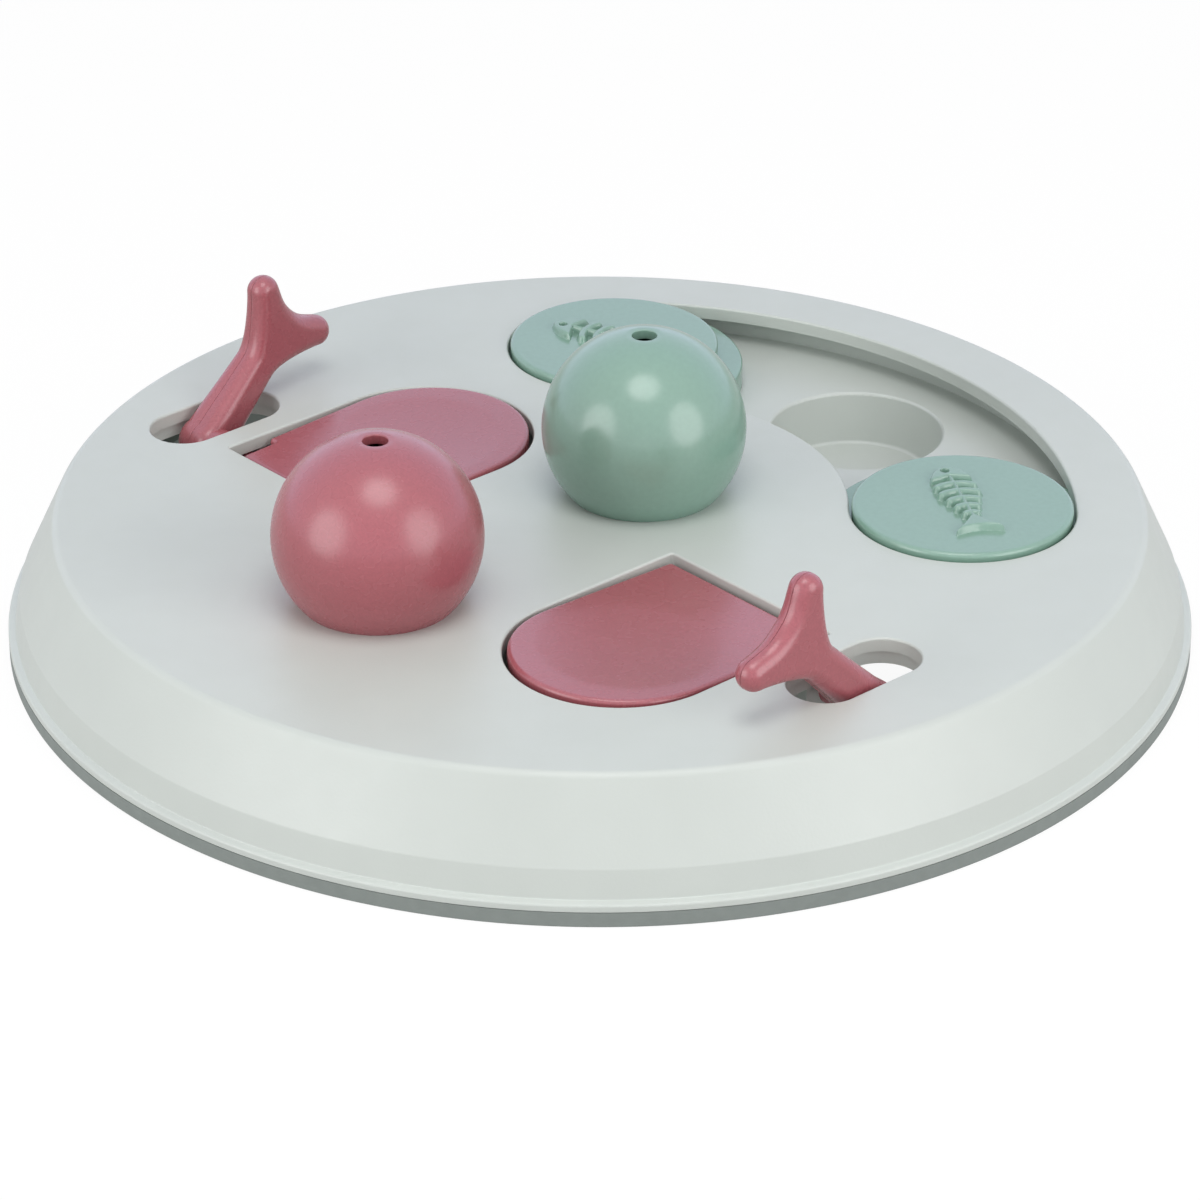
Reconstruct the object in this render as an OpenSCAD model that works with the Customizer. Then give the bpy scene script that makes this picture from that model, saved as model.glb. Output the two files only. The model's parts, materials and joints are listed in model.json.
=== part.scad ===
// Cat activity board: two discs that run in a curved track, two flip lids worked by
// fish-tail levers, and two lift-off hoods, all over treat bowls.
// Millimetres. Origin on the table under the middle of the board, +Z up.

/* [Board] */
// Outer diameter over the grip ring
board_d = 230; // [228:1:236]
// Height of the flat top above the table
board_h = 25.6; // [25:0.2:27]
// Thickness of the cover's top plate
plate_t = 2.8; // [2.6:0.1:3]
// Thickness of the cover's rim wall
wall_t = 2.4; // [2:0.1:2.8]
// Thickness of the feed tray's deck
deck_t = 2.7; // [2.4:0.1:3]
// Wall thickness of the bowls and wells
bowl_t = 1.8; // [1.4:0.1:2.2]
// Height of the soft grip ring
ring_h = 2.6; // [2.2:0.1:3]

/* [Track] */
// Distance from the board's edge to the track's centre line
track_edge = 45; // [44:0.5:46]
// Half the width of the track window
track_half = 21.9; // [21.6:0.1:22.4]
// Angle of the right end of the track
track_start = -3.4; // [-5:0.2:-2]
// Angle between the two ends of the track
track_sweep = 91; // [90:1:94]
// Radius of a track bowl at its rim
bowl_r = 17.5; // [16:0.5:18]

/* [Sliders] */
// Gap between a slider's disc and the track window
slide_gap = 0.5; // [0.4:0.1:0.8]
// How far a slider's flange reaches under the cover
flange_lap = 5.1; // [4:0.1:5.4]
// Height of a slider's disc above the cover
disc_rise = 1.3; // [0.8:0.1:2]
// Height of the fish-bone relief
bone_h = 1.4; // [1:0.1:1.6]

/* [Flaps] */
// Radius of a lid window's round end
flap_r = 21.4; // [21:0.1:21.8]
// Straight length of a lid window
flap_len = 33; // [31:0.5:34]
// Depth of the notch in a lid beside its lever
notch_w = 1.2; // [0.8:0.1:1.6]
// Gap between a lid and its window
lid_gap = 0.8; // [0.5:0.1:1]
// Thickness of a lid
lid_t = 2.6; // [2.2:0.1:3]
// Rise of a lid from its hinge to its round end, in degrees
lid_tilt = 2.2; // [1.5:0.1:2.5]
// Radius of a lid's hinge barrel
barrel_r = 4.2; // [4:0.1:4.4]
// Radius of an axle
axle_r = 2.5; // [2.3:0.1:2.6]
// Length of a lever slot
slot_len = 29; // [28:0.5:31]
// Width of a lever slot
slot_w = 14; // [13:0.5:15]

/* [Tail levers] */
// Length of a lever from its axle to the notch of its fin
tail_len = 31.5; // [30:0.5:33]
// Span of the fin
fin_span = 24; // [22.6:0.2:25]
// Radius of the fin's two round lobes
lobe_r = 3.1; // [2.8:0.1:3.4]
// Width of the arm at its waist
arm_w = 7.6; // [7:0.2:8]
// Thickness of the arm at the axle
arm_t = 9.4; // [8.8:0.2:9.6]
// Thickness of the fin at its notch
fin_t = 5.8; // [5.4:0.2:6.2]
// Lean of a lever from upright with its lid closed, in degrees
tail_lean = 45; // [43:1:47]

/* [Hoods] */
// Outer radius of a hood's ball
hood_r = 19.8; // [19:0.2:20.4]
// Height of the ball's centre above the cover
hood_rise = 13.1; // [12.4:0.1:13.6]
// Wall thickness of a hood
hood_t = 2; // [1.6:0.1:2.4]
// Radius of the hole on top of a hood
hood_hole_r = 2.4; // [2:0.1:3]
// Radius of the bowl opening under a hood
dip_r = 12.3; // [11.6:0.1:12.6]

/* [Hidden] */
$fn = 96;
eps = 0.01;

// colours
pale = [0.80, 0.83, 0.82];
grey = [0.50, 0.54, 0.52];
pink = [0.70, 0.36, 0.41];
green = [0.58, 0.71, 0.65];
steel = [0.70, 0.70, 0.72];

// levels
deck_z = board_h - plate_t;
deck_lo = deck_z - deck_t;
floor_z = deck_z - 5.3;
bowl_z = 6.8;
bowl_taper = 1.6;
bowl_lip = 0.7;
hinge_z = board_h - 5.8;

// rim
rim_r = board_d / 2;
top_r = rim_r - 9.7;
band_r = rim_r - 2.5;
band_z = 10.3;
wall_r = band_r - wall_t;
deck_r = top_r - 2.8;

// sliders and track
track_r = rim_r - track_edge;
disc_r = track_half - slide_gap;
flange_r = disc_r + flange_lap;
channel_half = flange_r + 0.6;
slider_lo = floor_z + 0.2;
flange_top = deck_z - 0.3;
disc_top = board_h + disc_rise;
track_end = track_start + track_sweep;
track_mid = track_start + track_sweep / 2;

// flaps: middle of the window's flat end, and the way the lid points
front_flap = [28.0, -38.2, 222];
rear_flap = [-59.1, 6.9, 42];
flaps = [front_flap, rear_flap];
hinge_t = barrel_r + 1.3;
lid_half = flap_r - lid_gap;
lid_top = barrel_r + 0.6;
lid_back = barrel_r + 0.1;
lid_round = 1.1;
barrel_in = 0.5;
notch_len = 4;
well_gap = 0.6;
well_back = 1.1;
saddle_in = flap_r + well_gap;
saddle_out = saddle_in + 4.1;
saddle_w = 10;
saddle_drop = 6;
saddle_back = 6;
axle_gap = 0.06;
axle_flat = axle_r * 1.5;
saddle_mouth = 2 * axle_r + 0.2;
slot_t = hinge_t + 1.1;
slot_off = flap_r + 12.8;
tail_off = slot_off + 1.8;
tail_hub_r = 4.6;
tail_boss_r = 3.9;
tail_boss = tail_off - slot_off + slot_w / 2 - 0.8;
edge_r = 2.2;
axle_from = -saddle_in - saddle_back + 2;
axle_to = tail_off + arm_t / 2 - 1.4;

// hoods
pink_spot = [-41.1, -40.3];
green_spot = [8.5, 5.2];
foot_r = sqrt(hood_r * hood_r - hood_rise * hood_rise);

// hood spots on the board
spots = [pink_spot, green_spot];

// screws: round the rim, beside the two ends of the track, and one near the pink hood
boss_r = 3.4;
screw_edge = 9.5;
rim_screws = [for (a = [118, 180, 222, 268, 326]) (deck_r - screw_edge) * [cos(a), sin(a)]];
function beside_track(a, way, gap) =
    track_r * [cos(a), sin(a)] + (channel_half + bowl_t + gap) * [cos(way), sin(way)];
inner_screws = [beside_track(track_end, 260.1, 14.8), beside_track(track_start, 187.5, 8.3), [-25, -9]];
boss_lo = deck_z - 10;
pilot_r = 1.3;
cup_t = 2;
head_h = 1.8;

// Takes a rounded bite from a profile corner p whose edges run towards a and b.
module round_corner(p, a, b, r) {
    ua = (a - p) / norm(a - p);
    ub = (b - p) / norm(b - p);
    half = acos(ua * ub) / 2;
    reach = r / tan(half);
    bisect = (ua + ub) / norm(ua + ub);
    difference() {
        polygon([p - bisect * 0.2, p + ua * reach, p + bisect * r / sin(half), p + ub * reach]);
        translate(p + bisect * r / sin(half)) circle(r);
    }
}

// Places children at every screw.
module at_screws() {
    for (p = concat(rim_screws, inner_screws)) translate([p[0], p[1], 0]) children();
}

// Places children in a flap's frame: x to the round end, y along the hinge.
module at_flap(f) {
    translate([f[0], f[1], 0]) rotate(f[2]) children();
}

// Places children on a flap's hinge axis.
module at_hinge(f) {
    at_flap(f) translate([hinge_t, 0, hinge_z]) children();
}

// Cylinder along y between two stations.
module rod_y(y0, y1, r) {
    translate([0, y0, 0]) rotate([-90, 0, 0]) cylinder(h = y1 - y0, r = r);
}

// Outline that runs along the track with round ends.
module track_outline(half) {
    far = 2 * rim_r;
    // the band stops just short of the end discs' middles, so that no edges only touch
    short = 1;
    angles = [track_start + short, track_mid, track_end - short];
    intersection() {
        difference() {
            circle(track_r + half);
            circle(track_r - half);
        }
        polygon(concat([[0, 0]], [for (a = angles) far * [cos(a), sin(a)]]));
    }
    for (a = [track_start, track_end]) rotate(a) translate([track_r, 0]) circle(half);
}

// Outline of a lid window, grown by a margin and by another at its flat end.
module flap_outline(grow, back) {
    translate([flap_len, 0]) circle(flap_r + grow);
    translate([-back, -flap_r - grow]) square([flap_len + back, 2 * (flap_r + grow)]);
}

// Outline of a lever slot, grown by a margin.
module slot_outline(grow) {
    run = slot_len - slot_w;
    translate([slot_t, slot_off]) {
        square([run, slot_w + 2 * grow], center = true);
        for (s = [-1, 1]) translate([s * run / 2, 0]) circle(slot_w / 2 + grow);
    }
}

// Section through the cover's top and rim.
module cover_section() {
    bead_z = ring_h + 2.5;
    rim = [rim_r, ring_h];
    bead = [rim_r, bead_z];
    step = [rim_r - 1.4, bead_z + 0.4];
    band = [band_r, band_z];
    edge = [top_r, board_h];
    middle = [0, board_h];
    difference() {
        polygon([middle, edge, band, step, bead, rim, [wall_r, ring_h], [wall_r, band_z - 0.4],
                 [top_r - 2, deck_z], [0, deck_z]]);
        round_corner(edge, middle, band, 3);
        round_corner(band, edge, step, 3);
        round_corner(bead, step, rim, 0.9);
    }
}

// Caps that hold an axle down in the tray's saddles.
module axle_keepers() {
    for (s = [-1, 1]) translate([0, s * (saddle_in + 2.05), 2.2]) {
        translate([0.1 - saddle_mouth / 2, -1.6, 0])
            cube([saddle_mouth - 0.2, 3.2, deck_z - hinge_z - 2.2 + 1]);
    }
}

module top_cover() {
    color(pale) difference() {
        union() {
            rotate_extrude($fn = 180) cover_section();
            at_screws() translate([0, 0, boss_lo]) cylinder(h = deck_z - boss_lo + 1, r = boss_r);
            for (f = flaps) at_hinge(f) axle_keepers();
        }
        translate([0, 0, deck_z - 1]) linear_extrude(plate_t + 2) {
            track_outline(track_half);
            for (f = flaps) at_flap(f) {
                flap_outline(0, 0);
                slot_outline(0);
            }
            for (p = spots) translate(p) circle(dip_r);
        }
        at_screws() translate([0, 0, boss_lo - 1]) cylinder(h = 9.5, r = pilot_r);
        for (f = flaps) at_hinge(f) rod_y(axle_from, saddle_out, axle_r + axle_gap);
    }
}

// Hollow of a round bowl from its floor up, with a rounded foot and, where asked for, a rounded lip.
module bowl_hollow(r_top, r_low, z_top, lip = 0) {
    low = [r_low, bowl_z];
    // a hair over the floor around the bowl, so that the lip crosses it and does not only touch it
    rim = [r_top, z_top + 0.02];
    rotate_extrude() {
        difference() {
            polygon([[0, bowl_z], low, rim, [r_top, z_top + 12], [0, z_top + 12]]);
            round_corner(low, [0, bowl_z], rim, 0.8);
        }
        if (lip > 0) round_corner(rim, low, rim + [1, 0], lip);
    }
}

// Outer wall of a round bowl that hangs from the level z_top, narrower at its foot.
module bowl_wall(r_top, z_top) {
    low = bowl_z - bowl_t;
    translate([0, 0, low]) cylinder(h = z_top - low, r1 = r_top - bowl_taper + bowl_t, r2 = r_top + bowl_t);
}

// Hollow of the bowl under a hood.
module hood_bowl_hollow(p) {
    translate([p[0], p[1], 0]) bowl_hollow(dip_r, dip_r - bowl_taper, deck_z);
}

// Hollow of a track bowl at an angle.
module track_bowl_hollow(a) {
    rotate(a) translate([track_r, 0, 0]) bowl_hollow(bowl_r, bowl_r - bowl_taper, floor_z, bowl_lip);
}

// Slit in the deck that an axle drops through into its saddles.
module axle_mouth() {
    translate([hinge_t - saddle_mouth / 2, axle_from - 0.3])
        square([saddle_mouth, saddle_out + 1.3 - axle_from]);
}

// Deck of the tray with its screw cups.
module tray_deck() {
    color(pale) difference() {
        union() {
            translate([0, 0, deck_lo]) cylinder(h = deck_t, r = deck_r, $fn = 180);
            at_screws() translate([0, 0, boss_lo - cup_t])
                cylinder(h = deck_z - boss_lo + cup_t, r = boss_r + 0.3 + bowl_t);
        }
        translate([0, 0, deck_lo - 1]) linear_extrude(deck_t + 2) {
            track_outline(channel_half);
            for (f = flaps) at_flap(f) {
                flap_outline(well_gap, well_back);
                slot_outline(0.5);
                axle_mouth();
            }
        }
        for (p = spots) hood_bowl_hollow(p);
        at_screws() {
            translate([0, 0, boss_lo]) cylinder(h = deck_z, r = boss_r + 0.3);
            translate([0, 0, boss_lo - cup_t - 1]) cylinder(h = cup_t + 2, r = pilot_r + 0.3);
        }
    }
}

// Trough that the sliders run in, open above its three bowls.
module track_trough() {
    low = floor_z - bowl_t;
    color(pale) difference() {
        translate([0, 0, low]) linear_extrude(deck_lo - low) track_outline(channel_half + bowl_t);
        translate([0, 0, floor_z]) linear_extrude(deck_z) track_outline(channel_half);
        for (a = [track_start, track_mid, track_end]) track_bowl_hollow(a);
    }
}

// Treat bowl under the trough.
module track_bowl(a) {
    color(pale) difference() {
        rotate(a) translate([track_r, 0, 0]) bowl_wall(bowl_r, floor_z - bowl_t);
        track_bowl_hollow(a);
    }
}

module bowl_right() { track_bowl(track_start); }
module bowl_middle() { track_bowl(track_mid); }
module bowl_rear() { track_bowl(track_end); }

// Well under a lid with the saddles for its axle.
module well(f) {
    low = bowl_z - bowl_t;
    color(pale) at_flap(f) difference() {
        union() {
            translate([0, 0, low]) linear_extrude(deck_lo - low)
                flap_outline(well_gap + bowl_t, well_back + bowl_t);
            translate([hinge_t - saddle_w / 2, -saddle_in - saddle_back, hinge_z - saddle_drop])
                cube([saddle_w, saddle_in + saddle_out + saddle_back, deck_lo - hinge_z + saddle_drop]);
        }
        translate([0, 0, bowl_z]) linear_extrude(deck_z) flap_outline(well_gap, well_back);
        translate([hinge_t, 0, hinge_z]) rod_y(axle_from - 0.3, saddle_out + 1, axle_r + axle_gap);
    }
}

module well_front() { well(front_flap); }
module well_rear() { well(rear_flap); }

// Treat bowl under a hood.
module hood_bowl(p) {
    color(pale) difference() {
        translate([p[0], p[1], 0]) bowl_wall(dip_r, deck_lo);
        hood_bowl_hollow(p);
    }
}

module bowl_pink() { hood_bowl(pink_spot); }
module bowl_green() { hood_bowl(green_spot); }

module grip_ring() {
    lip_r = wall_r - 0.1;
    low = [rim_r, 0];
    color(grey) rotate_extrude($fn = 180) difference() {
        polygon([[lip_r - 2.4, 0], low, [rim_r, ring_h], [lip_r, ring_h], [lip_r, ring_h + 4.4],
                 [lip_r - 2.4, ring_h + 4.4]]);
        round_corner(low, [lip_r, 0], [rim_r, ring_h], 0.8);
    }
}

module tray_screws() {
    seat = boss_lo - cup_t;
    color(steel) at_screws() difference() {
        union() {
            translate([0, 0, seat - head_h]) cylinder(h = head_h, r = 2.9, $fn = 48);
            translate([0, 0, seat - eps]) cylinder(h = 9, r = pilot_r - 0.05, $fn = 32);
        }
        for (a = [0, 90]) rotate(a) translate([-1.7, -0.4, seat - head_h - 1]) cube([3.4, 0.8, 2]);
    }
}

// Round bar with ball ends, lying along x on the disc.
module bone(len, r) {
    rotate([0, 90, 0]) cylinder(h = len, r = r, $fn = 24);
    translate([len, 0, 0]) sphere(r, $fn = 24);
}

// Head outline, pointed at the front.
module bone_head(len, half) {
    arc = (len * len + half * half) / (2 * half);
    intersection() {
        translate([0, half - arc]) circle(arc);
        translate([0, arc - half]) circle(arc);
        translate([0, -half]) square([len, 2 * half]);
    }
}

// Generic fish-bone relief: head with an eye, spine, swept ribs and a forked fin.
module fish_bone() {
    rib_r = 0.85;
    pitch = 2.9;
    sweep = 106;
    level = bone_h - rib_r;
    translate([-7.5, 0, level]) bone(16.8, rib_r);
    for (k = [0 : 5], s = [-1, 1])
        translate([8 - pitch * k, 0, level - 0.1]) rotate(s * sweep) bone(4.15 - 0.124 * k * k, rib_r);
    translate([8.6, 0, -0.5]) difference() {
        linear_extrude(bone_h + 0.5) bone_head(5.8, 4.3);
        translate([3.6, 0.3, 0.8]) cylinder(h = 3, r = 0.9, $fn = 24);
    }
    translate([0, 0, -0.5]) linear_extrude(bone_h + 0.4) difference() {
        polygon([[-6.6, 0.8], [-9.6, 2.3], [-14.4, 5.2], [-14.4, -5.2], [-9.6, -2.3], [-6.6, -0.8]]);
        translate([-17.4, 0]) circle(6, $fn = 48);
    }
}

// Stepped disc, hollow underneath.
module slider_body() {
    skin = 2.2;
    rim = [disc_r, disc_top];
    lip = [flange_r, flange_top];
    rotate_extrude() difference() {
        polygon([[0, disc_top], rim, [disc_r, flange_top], lip, [flange_r, slider_lo],
                 [flange_r - skin, slider_lo], [flange_r - skin, flange_top - skin],
                 [disc_r - skin, flange_top - skin], [disc_r - skin, disc_top - skin],
                 [0, disc_top - skin]]);
        round_corner(rim, [0, disc_top], [disc_r, flange_top], 0.9);
        round_corner(lip, [disc_r, flange_top], [flange_r, slider_lo], 0.6);
    }
}

// One slider at an angle on the track, its relief turned from the way it runs.
module slider(a, turn) {
    color(green) rotate(a) translate([track_r, 0, 0]) {
        slider_body();
        translate([0, 0, disc_top]) rotate(90 + turn) fish_bone();
    }
}

module slider_right() { slider(track_start, 15); }
module slider_rear() { slider(track_end, -25); }

// Bar with two flats that keys a lid and its lever together.
module axle_bar(y0, y1, r, flat) {
    intersection() {
        rod_y(y0, y1, r);
        translate([-flat / 2, y0 - 1, -r - 1]) cube([flat, y1 - y0 + 2, 2 * r + 2]);
    }
}

// Half section of a lid plate, rounded along its upper edge.
module lid_half_section() {
    corner = [lid_half, lid_top];
    difference() {
        translate([0, lid_top - lid_t]) square([lid_half, lid_t]);
        round_corner(corner, [0, lid_top], [lid_half, 0], lid_round);
    }
}

// Lid plate from its flat end behind the hinge to its round end.
module lid_plate() {
    run = flap_len - hinge_t;
    corner = [-lid_back, lid_top];
    difference() {
        translate([-lid_back, 0, 0]) rotate([90, 0, 90]) linear_extrude(run + lid_back) {
            lid_half_section();
            mirror([1, 0]) lid_half_section();
        }
        translate([0, lid_half + 1, 0]) rotate([90, 0, 0]) linear_extrude(2 * lid_half + 2)
            round_corner(corner, [0, lid_top], [-lid_back, 0], lid_round);
    }
    translate([run, 0, 0]) rotate_extrude() lid_half_section();
}

// Notch beside the lever, where the hinge end of a lid is narrower.
module lid_notch() {
    translate([-lid_back - 1, lid_half - notch_w, lid_top - lid_t - 1])
        cube([notch_len + lid_back + 1, notch_w + 1, lid_t + 2]);
}

// A lid in its hinge frame.
module lid() {
    dish = 0.5;
    reach = 17;
    dish_r = (reach * reach + dish * dish) / (2 * dish);
    color(pink) difference() {
        union() {
            rod_y(barrel_in - lid_half, lid_half - notch_w - barrel_in, barrel_r);
            rod_y(0.4 - flap_r, flap_r - 0.4, axle_r + 1.1);
            rotate([0, -lid_tilt, 0]) difference() {
                lid_plate();
                lid_notch();
                translate([flap_len - hinge_t - 2, 0, lid_top + dish_r - dish])
                    rotate([90, 0, 0]) sphere(dish_r, $fn = 180);
            }
        }
        axle_bar(-saddle_in - 1, saddle_in + 1, axle_r + 0.05, axle_flat + 0.1);
    }
}

module lid_front() { at_hinge(front_flap) lid(); }
module lid_rear() { at_hinge(rear_flap) lid(); }

module axle() { color(pink) axle_bar(axle_from, axle_to, axle_r, axle_flat); }
module axle_front() { at_hinge(front_flap) axle(); }
module axle_rear() { at_hinge(rear_flap) axle(); }

// Point on a cubic curve.
function curve(p, t) = let (u = 1 - t)
    u * u * u * p[0] + 3 * u * u * t * p[1] + 3 * u * t * t * p[2] + t * t * t * p[3];

// Point on the fin's right lobe at an angle, moved on along the lobe's edge.
function lobe_at(a, on = 0) =
    [fin_span / 2 - lobe_r, tail_len - 0.3] + lobe_r * [cos(a), sin(a)] + on * [-sin(a), cos(a)];

// Right half of the tail's outline, from the hub to the notch of the fin: arm, flare, round lobe, notch.
function tail_side() =
    let (half = arm_w / 2, foot = half + 0.4, waist = tail_len * 0.58, from = -50, to = 112,
         flare = [[half, waist], [half, waist + 3], lobe_at(from, -1.5), lobe_at(from)],
         notch = [lobe_at(to), lobe_at(to, 2.5), [4, tail_len], [0, tail_len]],
         hub_z = sqrt(tail_hub_r * tail_hub_r - foot * foot))
    concat(
        [[foot, hub_z], [foot - 0.1, waist * 0.3], [half, waist * 0.65]],
        [for (k = [0 : 6]) curve(flare, k / 6)],
        [for (k = [1 : 9]) lobe_at(from + (to - from) * k / 9)],
        [for (k = [1 : 5]) curve(notch, k / 5)]);

// Whole outline of the tail with its round hub at the axle, counter-clockwise.
function tail_loop() =
    let (side = tail_side(), last = len(side) - 1, from = 180 - acos(side[0][0] / tail_hub_r), arcs = 12,
         step = (540 - 2 * from) / arcs)
    concat(side, [for (k = [last - 1 : -1 : 0]) [-side[k][0], side[k][1]]],
           [for (k = [1 : arcs - 1]) let (a = from + k * step) tail_hub_r * [cos(a), sin(a)]]);

// Outward directions at the points of a closed loop.
function outward(loop) =
    let (n = len(loop))
    [for (k = [0 : n - 1])
        let (d = loop[(k + 1) % n] - loop[(k + n - 1) % n])
        [d[1], -d[0]] / norm(d)];

// Half the tail's thickness at a height over the axle.
function half_thick(z) = (arm_t + (fin_t - arm_t) * z / tail_len) / 2;

// Triangles that close a loop of n points, fanned from a spine of two points: the hub's middle and the fin's.
function tail_cap(n, first, spine) =
    let (last = len(tail_side()) - 1)
    concat([for (k = [0 : n - 1])
               [first + k, first + (k + 1) % n, spine + (k >= 1 && k < 2 * last - 1 ? 1 : 0)]],
           [[spine, first + 1, spine + 1], [spine, spine + 1, first + 2 * last - 1]]);

// One soft-edged shell of the tail, upright, from the seam at y = 0 to its face.
module tail_form() {
    loop = tail_loop();
    away = outward(loop);
    n = len(loop);
    steps = 5;
    seam = 0.3;
    // inward offset and depth below the face for each layer after the two at the seam
    layers = [for (k = [0 : steps]) let (a = 90 * k / steps) edge_r * [1 - cos(a), 1 - sin(a)]];
    seam_layers = [for (d = [seam, 0]) [for (k = [0 : n - 1])
        let (p = loop[k] - d * away[k]) [p[0], seam - d, p[1]]]];
    face_layers = [for (l = layers) [for (k = [0 : n - 1])
        let (p = loop[k] - l[0] * away[k]) [p[0], half_thick(p[1]) - l[1], p[1]]]];
    rings = concat(seam_layers, face_layers);
    top = len(rings) - 1;
    sides = [for (r = [0 : top - 1], k = [0 : n - 1])
        let (m = (k + 1) % n)
        each [[r * n + k, r * n + m, r * n + n + k], [r * n + m, r * n + n + m, r * n + n + k]]];
    fin_z = tail_len * 0.8;
    seam_spine = [[0, 0, 0], [0, 0, fin_z]];
    face_spine = [[0, half_thick(0), 0], [0, half_thick(fin_z), fin_z]];
    count = len(rings) * n;
    seam_cap = [for (t = tail_cap(n, 0, count)) [t[2], t[1], t[0]]];
    face_cap = tail_cap(n, top * n, count + 2);
    polyhedron(
        points = concat([for (r = rings) each r], seam_spine, face_spine),
        faces = concat(sides, seam_cap, face_cap));
}

// One shell of a tail lever in its hinge frame: side -1 is next to the lid.
module tail_shell(side) {
    color(pink) translate([0, tail_off, 0]) difference() {
        union() {
            mirror([0, side > 0 ? 0 : 1, 0]) rotate([0, tail_lean, 0]) tail_form();
            if (side < 0) rod_y(-tail_boss, -1, tail_boss_r);
        }
        axle_bar(-arm_t, axle_to - tail_off + 0.1, axle_r + 0.05, axle_flat + 0.1);
    }
}

module tail_front_inner() { at_hinge(front_flap) tail_shell(-1); }
module tail_front_outer() { at_hinge(front_flap) tail_shell(1); }
module tail_rear_inner() { at_hinge(rear_flap) tail_shell(-1); }
module tail_rear_outer() { at_hinge(rear_flap) tail_shell(1); }

// Section through a hood: ball wall with a rounded hole edge, flat foot and locating lip.
module hood_section() {
    mid = hood_r - hood_t / 2;
    edge = hood_hole_r + hood_t / 2;
    high = sqrt(mid * mid - edge * edge);
    lip_r = dip_r - 0.4;
    intersection() {
        difference() {
            circle(hood_r);
            circle(hood_r - hood_t);
        }
        polygon([[0, 0], 2 * [edge, high], [2 * hood_r, hood_r], [2 * hood_r, -hood_rise], [0, -hood_rise]]);
    }
    translate([edge, high]) circle(hood_t / 2, $fn = 32);
    translate([lip_r - 1.6, -hood_rise - 1.4]) square([1.6, 2.4]);
    translate([lip_r - 1.6, -hood_rise]) square([foot_r - lip_r + 0.8, 1]);
}

module hood(p, c) {
    color(c) translate([p[0], p[1], board_h + hood_rise]) rotate_extrude() hood_section();
}

module hood_pink() { hood(pink_spot, pink); }
module hood_green() { hood(green_spot, green); }

top_cover();
tray_deck();
track_trough();
bowl_right();
bowl_middle();
bowl_rear();
well_front();
well_rear();
bowl_pink();
bowl_green();
grip_ring();
tray_screws();
slider_right();
slider_rear();
lid_front();
lid_rear();
axle_front();
axle_rear();
tail_front_inner();
tail_front_outer();
tail_rear_inner();
tail_rear_outer();
hood_pink();
hood_green();
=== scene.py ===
# Looks of the cat activity board: finer visible pieces, procedural finishes, light and camera.
import json
import math

import bmesh
import bpy
import numpy as np
from mathutils import Matrix, Vector


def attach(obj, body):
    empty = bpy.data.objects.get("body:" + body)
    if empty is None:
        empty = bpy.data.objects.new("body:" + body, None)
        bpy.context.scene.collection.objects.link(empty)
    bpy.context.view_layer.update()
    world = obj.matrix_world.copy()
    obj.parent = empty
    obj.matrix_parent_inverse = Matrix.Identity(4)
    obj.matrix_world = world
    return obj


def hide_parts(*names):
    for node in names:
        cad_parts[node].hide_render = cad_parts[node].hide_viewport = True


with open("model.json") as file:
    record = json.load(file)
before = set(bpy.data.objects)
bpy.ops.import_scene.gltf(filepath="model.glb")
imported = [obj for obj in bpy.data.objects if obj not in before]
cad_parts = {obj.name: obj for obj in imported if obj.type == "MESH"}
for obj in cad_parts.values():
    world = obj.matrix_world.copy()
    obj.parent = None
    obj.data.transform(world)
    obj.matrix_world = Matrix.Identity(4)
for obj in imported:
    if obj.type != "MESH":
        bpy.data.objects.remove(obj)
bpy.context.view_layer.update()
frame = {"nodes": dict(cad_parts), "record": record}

# Sizes in millimetres, the part's own apart from bead, ring, fish bone, the lids' notch and finer edges
MM = 0.001

# Cover and grip ring
BOARD_H = 25.6
DECK_Z = 22.8
RIM_R = 115.0
TOP_R = 105.3
BAND_R = 112.5
BAND_Z = 10.3
WALL_R = 110.1
TOP_ROUND = 1.8
BAND_ROUND = 2.0
BEVEL_T = 2.0
BEVEL_DROP = 0.4
BEAD_RISE = 1.45
BEAD_STEP = 0.4
BEAD_W = 1.4
BEAD_ROUND = 0.5
SEAM_ROUND = 0.3
WINDOW_ROUND = 0.5
RING_H = 3.0
RING_ROUND = 0.4
RING_LIP_W = 2.4
RING_LIP_H = 4.4
RING_PLAY = 0.1
RIM_SIDES = 360

# Track and discs: where each disc rests, and how far its fish bone is turned from the way it runs
TRACK_R = 70.0
TRACK_HALF = 21.9
TRACK_START = -3.4
TRACK_END = 87.6
DISCS = {"right": (TRACK_START, 15), "rear": (TRACK_END, -25)}
DISC_R = 21.4
FLANGE_R = 26.5
DISC_TOP = 26.9
FLANGE_TOP = 22.5
SLIDER_LO = 17.7
SKIN = 2.2
DISC_EDGE = 0.9
FLANGE_EDGE = 0.6
FACE_R = 18.0
CORE_R = 0.3
DISC_SIDES = 240

# Fish bone, with its middle on the disc's and its head towards +x
BONE_H = 1.4
BONE_EDGE = 0.82
BONE_POWER = 2.4
SPINE = (-7.5, 9.3)
SPINE_R = 0.72
RIBS = 5
RIB_X = 6.65
RIB_PITCH = 3.1
RIB_REACH = 3.55
RIB_LOSS = 0.83
RIB_BEND = 0.6
RIB_SWEEP = 0.3
RIB_R = 1.04
HEAD_X = 8.0
HEAD_LEN = 6.3
HEAD_HALF = 4.25
GILL_X = 9.4
GILL_SLANT = 0.33
GILL_COS = 0.95
EYE = (11.6, 0.5)
EYE_R = 0.7
EYE_STEEP = 3.0
BONE_FIN = [(-6.8, -1), (-6.8, 0.6), (-9.4, 2.35), (-12.4, 4.8), (-13.7, 4.8), (-13.7, -1)]
HOLLOW_X = -20.9
HOLLOW_R = 9.0
RELIEF_LONG = 15.0
RELIEF_WIDE = 6.0
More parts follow.
